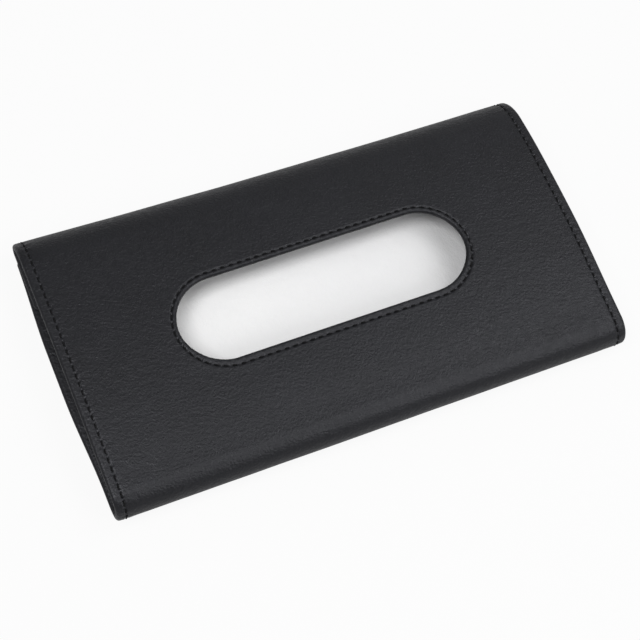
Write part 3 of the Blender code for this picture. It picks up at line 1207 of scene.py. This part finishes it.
finishes = {
    leather: (back_leather, fold_leather, front_leather),
    white_leatherette(): (white_back_lining,),
    cloth: (black_fold_lining, black_front_lining),
    thread: (
        back_thread,
        fold_thread,
        front_thread,
        window_thread,
        band_left_thread,
        band_right_thread,
    ),
    elastic: (band_left, band_right),
}
for material, dressed in finishes.items():
    for piece in dressed:
        give(piece, material)
        smooth(piece)
for name in ("back_stiffener", "front_stiffener", "lip_stiffener"):
    give(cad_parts[name], board)
for name in ("back_magnet_left", "back_magnet_right", "lip_magnet_left", "lip_magnet_right"):
    give(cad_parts[name], plating)

stand_ins = {
    "back_cover_leather": back_leather,
    "front_cover_leather": front_leather,
    "back_lining": white_back_lining,
    "spine_lining": black_fold_lining,
    "front_lining": black_front_lining,
    "visor_band_left": band_left,
    "visor_band_right": band_right,
}
for node, piece in stand_ins.items():
    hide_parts(node)

bodies = {
    "back": (
        back_leather,
        white_back_lining,
        back_thread,
        band_left,
        band_right,
        band_left_thread,
        band_right_thread,
    ),
    "front": (front_leather, black_front_lining, front_thread, window_thread),
}
for body, riders in bodies.items():
    for piece in riders:
        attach(piece, body)

crease_reach = BEND_DIRECTION.dot(section_at(CREASE))
for piece in (fold_leather, black_fold_lining, fold_thread):
    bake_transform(piece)


# Floor, room and camera


def lay_floor():
    """Pale floor, which looks whiter to the camera than the light that it throws back."""
    bpy.ops.mesh.primitive_plane_add(size=FLOOR_SIZE)
    floor = set_down(bpy.context.object, "floor")
    finish = Finish("white_floor")
    finish.tint(finish.noise(3), (0.64, 0.64, 0.64), (0.66, 0.66, 0.66))
    finish.set(Roughness=0.9, Specular_IOR_Level=0.1)
    glow = finish.nodes.new("ShaderNodeEmission")
    glow.inputs["Color"].default_value = WHITE
    mix = finish.nodes.new("ShaderNodeMixShader")
    rays = finish.nodes.new("ShaderNodeLightPath").outputs["Is Camera Ray"]
    distance = finish.nodes.new("ShaderNodeVectorMath")
    distance.operation = "LENGTH"
    finish.join(finish.place, distance.inputs[0])
    reach = (FLOOR_WHITENED_FROM, FLOOR_WHITENED_TO)
    whiten = finish.spread(distance.outputs["Value"], *FLOOR_WHITENED, *reach)
    finish.join(finish.combine("MULTIPLY", rays, whiten), mix.inputs["Fac"])
    finish.join(finish.shader.outputs["BSDF"], mix.inputs[1])
    finish.join(glow.outputs["Emission"], mix.inputs[2])
    finish.join(mix.outputs["Shader"], finish.nodes["Material Output"].inputs["Surface"])
    give(floor, finish.material)


def add_softbox(name, place, size, power):
    """Rectangular lamp that faces the holder."""
    data = bpy.data.lights.new(name, "AREA")
    data.shape = "RECTANGLE"
    data.size, data.size_y = size
    data.energy = power
    lamp = bpy.data.objects.new(name, data)
    bpy.context.scene.collection.objects.link(lamp)
    lamp.location = place
    lamp.rotation_euler = (-Vector(place)).to_track_quat("-Z", "Y").to_euler()


def light_room():
    """Softboxes in a dim room, which the camera sees as white."""
    world = bpy.data.worlds.new("studio")
    bpy.context.scene.world = world
    world.use_nodes = True
    nodes = world.node_tree.nodes
    links = world.node_tree.links
    backdrop = nodes.new("ShaderNodeBackground")
    backdrop.inputs["Color"].default_value = WHITE
    mix = nodes.new("ShaderNodeMixShader")
    nodes["Background"].inputs["Color"].default_value = ROOM_LIGHT
    links.new(nodes.new("ShaderNodeLightPath").outputs["Is Camera Ray"], mix.inputs["Fac"])
    links.new(nodes["Background"].outputs["Background"], mix.inputs[1])
    links.new(backdrop.outputs["Background"], mix.inputs[2])
    links.new(mix.outputs["Shader"], nodes["World Output"].inputs["Surface"])
    for softbox in SOFTBOXES:
        add_softbox(*softbox)


def add_camera():
    data = bpy.data.cameras.new("camera")
    data.lens = CAMERA_LENS
    data.sensor_width = CAMERA_SENSOR
    camera = bpy.data.objects.new("camera", data)
    bpy.context.scene.collection.objects.link(camera)
    camera.location = CAMERA_PLACE
    camera.rotation_euler = Euler([math.radians(angle) for angle in CAMERA_TURN], "XYZ")
    bpy.context.scene.camera = camera


lay_floor()
light_room()
add_camera()
bpy.context.scene.view_settings.view_transform = "Standard"
